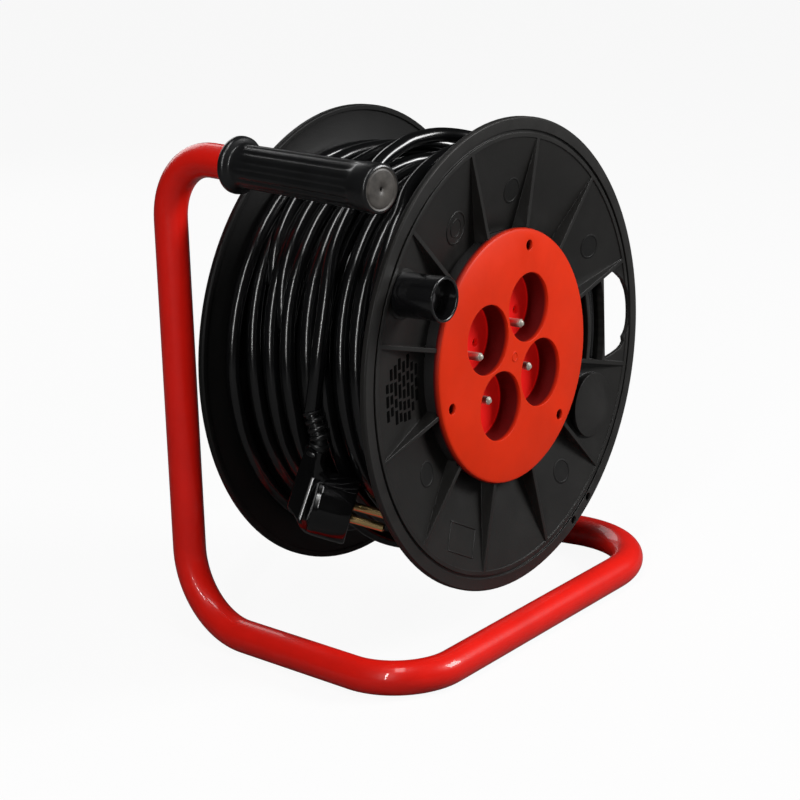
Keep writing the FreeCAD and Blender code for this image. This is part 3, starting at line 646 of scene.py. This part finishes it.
# Faceted back: e, left p, left q, ridge p, ridge q, valley q, right p, right q
BACK_STATIONS = np.array([
    (-17.2, -4.4, 3.0, -3.2, 5.6, 5.2, 3.0, 5.0),
    (-13.0, -9.4, 3.6, -6.4, 10.6, 9.6, 3.0, 9.8),
    (-9.0, -14.4, 4.2, -8.4, 14.0, 12.6, 3.0, 12.8),
    (-6.2, -18.4, 4.6, -9.0, 15.8, 14.2, 3.0, 14.4),
    (-5.0, -18.9, 4.6, -9.0, 15.4, 13.8, 3.0, 14.0),
    (4.0, -18.7, 4.4, -8.6, 12.4, 10.9, 3.0, 11.4),
    (12.0, -18.3, 4.0, -8.2, 9.7, 8.4, 3.0, 8.9),
    (16.5, -18.1, 3.8, -8.0, 8.2, 7.2, 1.0, 7.0),
    (20.0, -17.9, 3.5, -8.6, 7.7, 6.9, -3.4, 5.8),
    (26.0, -17.6, 3.0, -9.4, 6.9, 6.4, -5.2, 4.4),
    (30.2, -17.4, 2.6, -9.8, 6.3, 6.0, -5.2, 3.2),
    (31.0, -16.6, 2.0, -10.0, 5.2, 5.0, -6.0, 2.4)])


def back_section(e):
    left_p, left_q, ridge_p, ridge_q, valley_q, right_p, right_q = [
        float(np.interp(e, BACK_STATIONS[:, 0], column)) for column in BACK_STATIONS.T[1:]]
    valley_p = ridge_p + 0.42 * (right_p - ridge_p) if right_p < 1 else ridge_p + 3.2
    ridge_width = 2.3 if e < 17 else 1.2
    half = [
        (left_p, left_q, 1.6), (ridge_p - ridge_width, ridge_q - 0.174 * ridge_width, 0.5),
        (ridge_p, ridge_q, 0.6), (min(valley_p, right_p - 1.0), valley_q, 1.4),
        (right_p, right_q, 1.2)]
    mirrored = [(p, -q, cut) for p, q, cut in half[::-1]]
    return [plug_point(p, q, e) for p, q in rounded_polygon(half + mirrored)]


# Round disc: (p, radius)
DISC_PROFILE = [
    (-4.8, 13.0), (-4.8, 17.2), (-4.7, 17.6), (-4.4, 17.85), (-4.3, 17.87), (-2.2, 18.24),
    (-1.9, 18.3), (-1.4, 18.3), (3.0, 18.35), (9.0, 18.4), (15.4, 18.3), (16.2, 18.0),
    (16.6, 17.3), (16.6, 10.0)]


def disc_section(p, radius):
    angles = [2 * math.pi * k / 64 for k in range(64)]
    return [plug_point(p, radius * math.cos(a), radius * math.sin(a)) for a in angles]


back_heights = sorted({*BACK_STATIONS[:, 0].tolist(), *map(float, range(-17, 31))})
add_piece("plug_shell", merge([
    loft([back_section(e) for e in back_heights]),
    loft([disc_section(p, radius) for p, radius in DISC_PROFILE]),
]), "drum", "plug_plastic", replaces="plug_body", split=32)

# ------------------------------------------------------------------ strain relief and cord
NECK = plug_point(-11.2, 0, 27.0)
RELIEF_TOP = polar(116.75, 186.0, -6.5)
relief_path = smooth_path(
    [NECK - AXIS_E * 0.5, NECK + AXIS_E * 3.5, NECK + AXIS_E * 9.0, RELIEF_TOP], 60)


def relief_radii(path):
    """Ribs with rounded tops, one per pitch, on a tapering sleeve."""
    rib_pitch = 4.7
    radii = []
    travelled = 0.0
    for i, point in enumerate(path):
        if i:
            travelled += np.linalg.norm(point - path[i - 1])
        phase = (travelled % rib_pitch) / rib_pitch
        crest = 6.3 - 1.0 * i / len(path)
        on_rib = phase < 0.54
        radii.append(crest - (0.5 * (abs(phase - 0.27) / 0.27) ** 3 if on_rib else 1.75))
    return radii


add_piece("plug_relief", sweep(relief_path, relief_radii(relief_path), 28),
          "drum", "plug_plastic", material="relief_pvc", split=40)

# (angle, radius, y) from the relief to where the cord sinks into the winding
LEAD_KEYS = [
    (183.0, 116.4, -8.0), (175, 116.3, -11.0), (167.6, 116.2, -12.0), (156.6, 116.3, -11.4),
    (142, 116.6, -5.8), (129, 117.6, -4.6), (112, 119.6, -1.5), (101, 121.8, -3.0),
    (94.5, 122.2, -5.2), (88, 122.0, -9.5), (82, 120.6, -17), (75, 118.0, -24), (65, 114, -30),
    (52, 108, -34), (40, 101.5, -36)]
lead_keys = [RELIEF_TOP - unit(RELIEF_TOP - relief_path[-12]) * 3.0, RELIEF_TOP]
lead_keys += [polar(radius, angle, y) for angle, radius, y in LEAD_KEYS]
add_piece("cable_lead", sweep(smooth_path(lead_keys, 12), CABLE_RADIUS, 20),
          "drum", "cable_pvc", replaces="cable_free_end")

# ------------------------------------------------------------------ winding knob and plate collar
# Outlines are (radius, distance forward of the middle plane, corner radius).
KNOB_OUTLINE = [
    (7.3, 57.2, 0), (12.25, 57.2, 0.6), (12.2, 60.0, 0), (12.0, 74.0, 0), (12.3, 84.0, 0.8),
    (10.5, 84.0, 0.8), (10.2, 73.4, 1.2), (7.3, 72.2, 0.4), (7.3, 57.2, 0)]
add_piece("winding_sleeve",
          revolve(fillet(KNOB_OUTLINE, 5), polar(111.0, 150.5, 0.0), FORWARD, 96),
          "knob", "knob_plastic", replaces="winding_knob")

COLLAR_OUTLINE = [(68.95, 42.2, 0), (68.95, 57.9, 0.3), (70.25, 57.9, 0.3), (70.25, 42.2, 0)]
add_piece("plate_collar",
          revolve(fillet(COLLAR_OUTLINE, 3) + [(68.95, 42.2)], DRUM_CENTER, FORWARD, 128),
          "drum", "flange_plastic", material="barrel_plastic", split=40)


# ------------------------------------------------------------------ raised marks, front flange
def on_panel(place, across, outward, lift):
    """Point offset from place = (radius, angle), lifted forward off the flange cone."""
    radius, angle = place
    a = math.radians(angle)
    radial, tangent = vec(math.cos(a), 0, math.sin(a)), vec(-math.sin(a), 0, math.cos(a))
    x, _, z = polar(radius, angle, 0) + tangent * across + radial * outward
    return vec(x, -cone_height(math.hypot(x, z - AXIS_Z)) - lift, z)


def round_mark(place, outer, lift, inner=None):
    """A ring when an inner radius is given, otherwise a disc with a sunk middle."""
    segments = 48
    profile = [(outer, -0.3), (outer, lift * 0.6), (outer - 0.3, lift)]
    if inner:
        profile += [(inner + 0.3, lift), (inner, -0.1), (inner, -0.3)]
    else:
        sunk = lift - 0.22
        profile += [(outer - 1.0, lift), (outer - 1.3, sunk), (0.4, sunk)]
    vertices = []
    for radius, height in profile:
        for k in range(segments):
            a = 2 * math.pi * k / segments
            vertices.append(on_panel(place, radius * math.cos(a), radius * math.sin(a), height))
    faces = ring_faces(len(profile), segments)
    if not inner:
        faces.append(tuple(range((len(profile) - 1) * segments, len(profile) * segments)))
    return vertices, faces


def block(place, left, right, low, high, height, bevel):
    """Flat bar; left to right runs around the drum, low to high outward."""
    vertices = []
    for lift, inset in ((-0.4, 0), (height - bevel * 0.6, 0), (height, bevel)):
        x0, x1, z0, z1 = left + inset, right - inset, low + inset, high - inset
        vertices += [on_panel(place, x, z, lift)
                     for x, z in ((x0, z0), (x1, z0), (x1, z1), (x0, z1))]
    return vertices, ring_faces(3, 4) + [(8, 9, 10, 11)]


def dash_patch():
    """Eight-sided patch of dashes of random length in staggered rows."""
    half_width, half_height, corner_cut = 20.5, 17.5, 9.0
    dash_height, row_pitch, gap, stagger = 2.6, 4.7, 1.7, 2.6
    dashes = []
    row = 0
    low = -half_height + 0.6
    while low < half_height - 1.2:
        limit = half_width - max(0.0, abs(low + 0.9) - (half_height - corner_cut))
        left = -limit + (stagger if row % 2 else 0.0)
        while left < limit - 1.5:
            length = random.choice((4.8, 6.2, 7.6))
            if left + length > limit:
                break
            dashes.append(block((95.0, 180.5), left, left + length, low, low + dash_height,
                                height=0.30, bevel=0.15))
            left += length + gap
        low += row_pitch
        row += 1
    return merge(dashes)


# The dashes are raised bars coloured near-black as painted shade of dark slots.
add_piece("panel_dashes", dash_patch(), "drum", "flange_plastic", material="dash_painted_shade",
          split=30)

# Two concentric rings, and a rectangular border of (left, right, low, high) bars
RINGS_PLACE = (90.6, 117.7)
BORDER = [(-13, 13, -8.5, -7.9), (-13, 13, 7.9, 8.5), (-13, -12.4, -7.9, 7.9),
          (12.4, 13, -7.9, 7.9)]
marks = [round_mark(RINGS_PLACE, 9.6, 0.45, inner=8.4),
         round_mark(RINGS_PLACE, 5.4, 0.35, inner=4.6)]
marks += [block((107.5, -116.5), *bar, height=0.35, bevel=0.1) for bar in BORDER]
add_piece("panel_marks", merge(marks), "drum", "flange_plastic", split=30)

DISC_PLACES = [(93.3, 83.0), (100.5, 27.7), (90.5, 214.5), (100.6, 304.0)]
add_piece("panel_discs", merge([round_mark(place, 7.4, 0.30) for place in DISC_PLACES]),
          "drum", "flange_plastic", material="disc_plastic", split=30)

# Small ring at the outlet plate's centre
RING_OUTLINE = [(2.9, 60.5, 0), (2.9, 61.0, 0.15), (2.1, 61.0, 0.15), (2.1, 60.5, 0)]
add_piece("plate_ring", revolve(fillet(RING_OUTLINE, 3), DRUM_CENTER, FORWARD, 48),
          "drum", "outlet_plastic", split=40)


# ------------------------------------------------------------------ floor and world
def add_floor():
    """Looks almost pure white to the camera, but throws little light on the reel."""
    half, z = 6.0, -0.0005
    data = bpy.data.meshes.new("floor")
    data.from_pydata([(-half, -half, z), (half, -half, z), (half, half, z), (-half, half, z)],
                     [], [(0, 1, 2, 3)])
    floor = bpy.data.objects.new("floor", data)
    bpy.context.scene.collection.objects.link(floor)
    paper = make_material("floor_paper", color=(0.86, 0.86, 0.86), rough=0.85, mottle=0.01,
                          grain=0.1, specular=0.2)
    data.materials.append(paper)
    tree = paper.node_tree
    white = add_node(tree, "ShaderNodeEmission", {"Color": (1, 1, 1, 1), "Strength": 1.0})
    dark = add_node(tree, "ShaderNodeBsdfDiffuse", {"Color": (0.16, 0.16, 0.16, 1)})
    seen = add_node(tree, "ShaderNodeMixShader", {
        "Fac": 0.93, 1: tree.nodes["Principled BSDF"].outputs[0], 2: white.outputs[0]})
    mix_for_camera(tree, "Material Output", dark, seen)


def mix_for_camera(tree, output, unseen, seen):
    """Shows `seen` to camera rays and `unseen` to all others."""
    light_path = add_node(tree, "ShaderNodeLightPath", {})
    mix = add_node(tree, "ShaderNodeMixShader", {
        "Fac": light_path.outputs["Is Camera Ray"],
        1: unseen.outputs[0], 2: seen.outputs[0]})
    tree.links.new(mix.outputs[0], tree.nodes[output].inputs["Surface"])


def add_world():
    world = bpy.data.worlds.new("studio")
    bpy.context.scene.world = world
    world.use_nodes = True
    tree = world.node_tree
    dim = tree.nodes["Background"]
    set_inputs(tree, dim, {"Color": (1, 1, 1, 1), "Strength": 0.025})
    white = add_node(tree, "ShaderNodeBackground", {"Color": (1, 1, 1, 1), "Strength": 1.0})
    mix_for_camera(tree, "World Output", dim, white)


add_floor()
add_world()

# ------------------------------------------------------------------ lights and camera
LIGHT_TARGET = Vector(to_metres(vec(0, 0, 150)))


def add_light(name, position, size, power):
    """Rectangular light aimed at the drum; metres and watts."""
    data = bpy.data.lights.new(name, "AREA")
    data.shape = "RECTANGLE"
    data.size, data.size_y = size
    data.energy = power
    light = bpy.data.objects.new(name, data)
    bpy.context.scene.collection.objects.link(light)
    light.location = position
    light.rotation_mode = "QUATERNION"
    light.rotation_quaternion = (LIGHT_TARGET - Vector(position)).to_track_quat("-Z", "Y")


add_light("key", position=(-1.30, -0.45, 0.80), size=(0.055, 1.15), power=8.5)
add_light("face", position=(1.05, -1.45, 1.05), size=(0.8, 0.7), power=34)
add_light("top", position=(-0.45, -0.35, 1.5), size=(0.25, 0.8), power=6)
add_light("back", position=(0.6, 1.4, 0.8), size=(0.9, 0.9), power=5)


def add_camera():
    data = bpy.data.cameras.new("cam")
    data.lens = 105.23
    data.sensor_width = 36.0
    data.sensor_fit = "HORIZONTAL"
    data.clip_start, data.clip_end = 0.05, 50
    camera = bpy.data.objects.new("cam", data)
    bpy.context.scene.collection.objects.link(camera)
    position = to_metres(vec(-1056.24, -788.37, 485.12))
    backward = unit(vec(-0.7657, -0.5875, 0.2616))
    right = vec(0.6019, -0.798, -0.0305)
    right = unit(right - backward * right.dot(backward))
    upward = np.cross(backward, right)
    rows = zip(right, upward, backward, position)
    camera.matrix_world = Matrix((*rows, (0, 0, 0, 1)))
    bpy.context.scene.camera = camera


add_camera()
bpy.context.scene.view_settings.view_transform = "Standard"
bpy.context.scene.view_settings.look = "None"

bpy.context.view_layer.update()
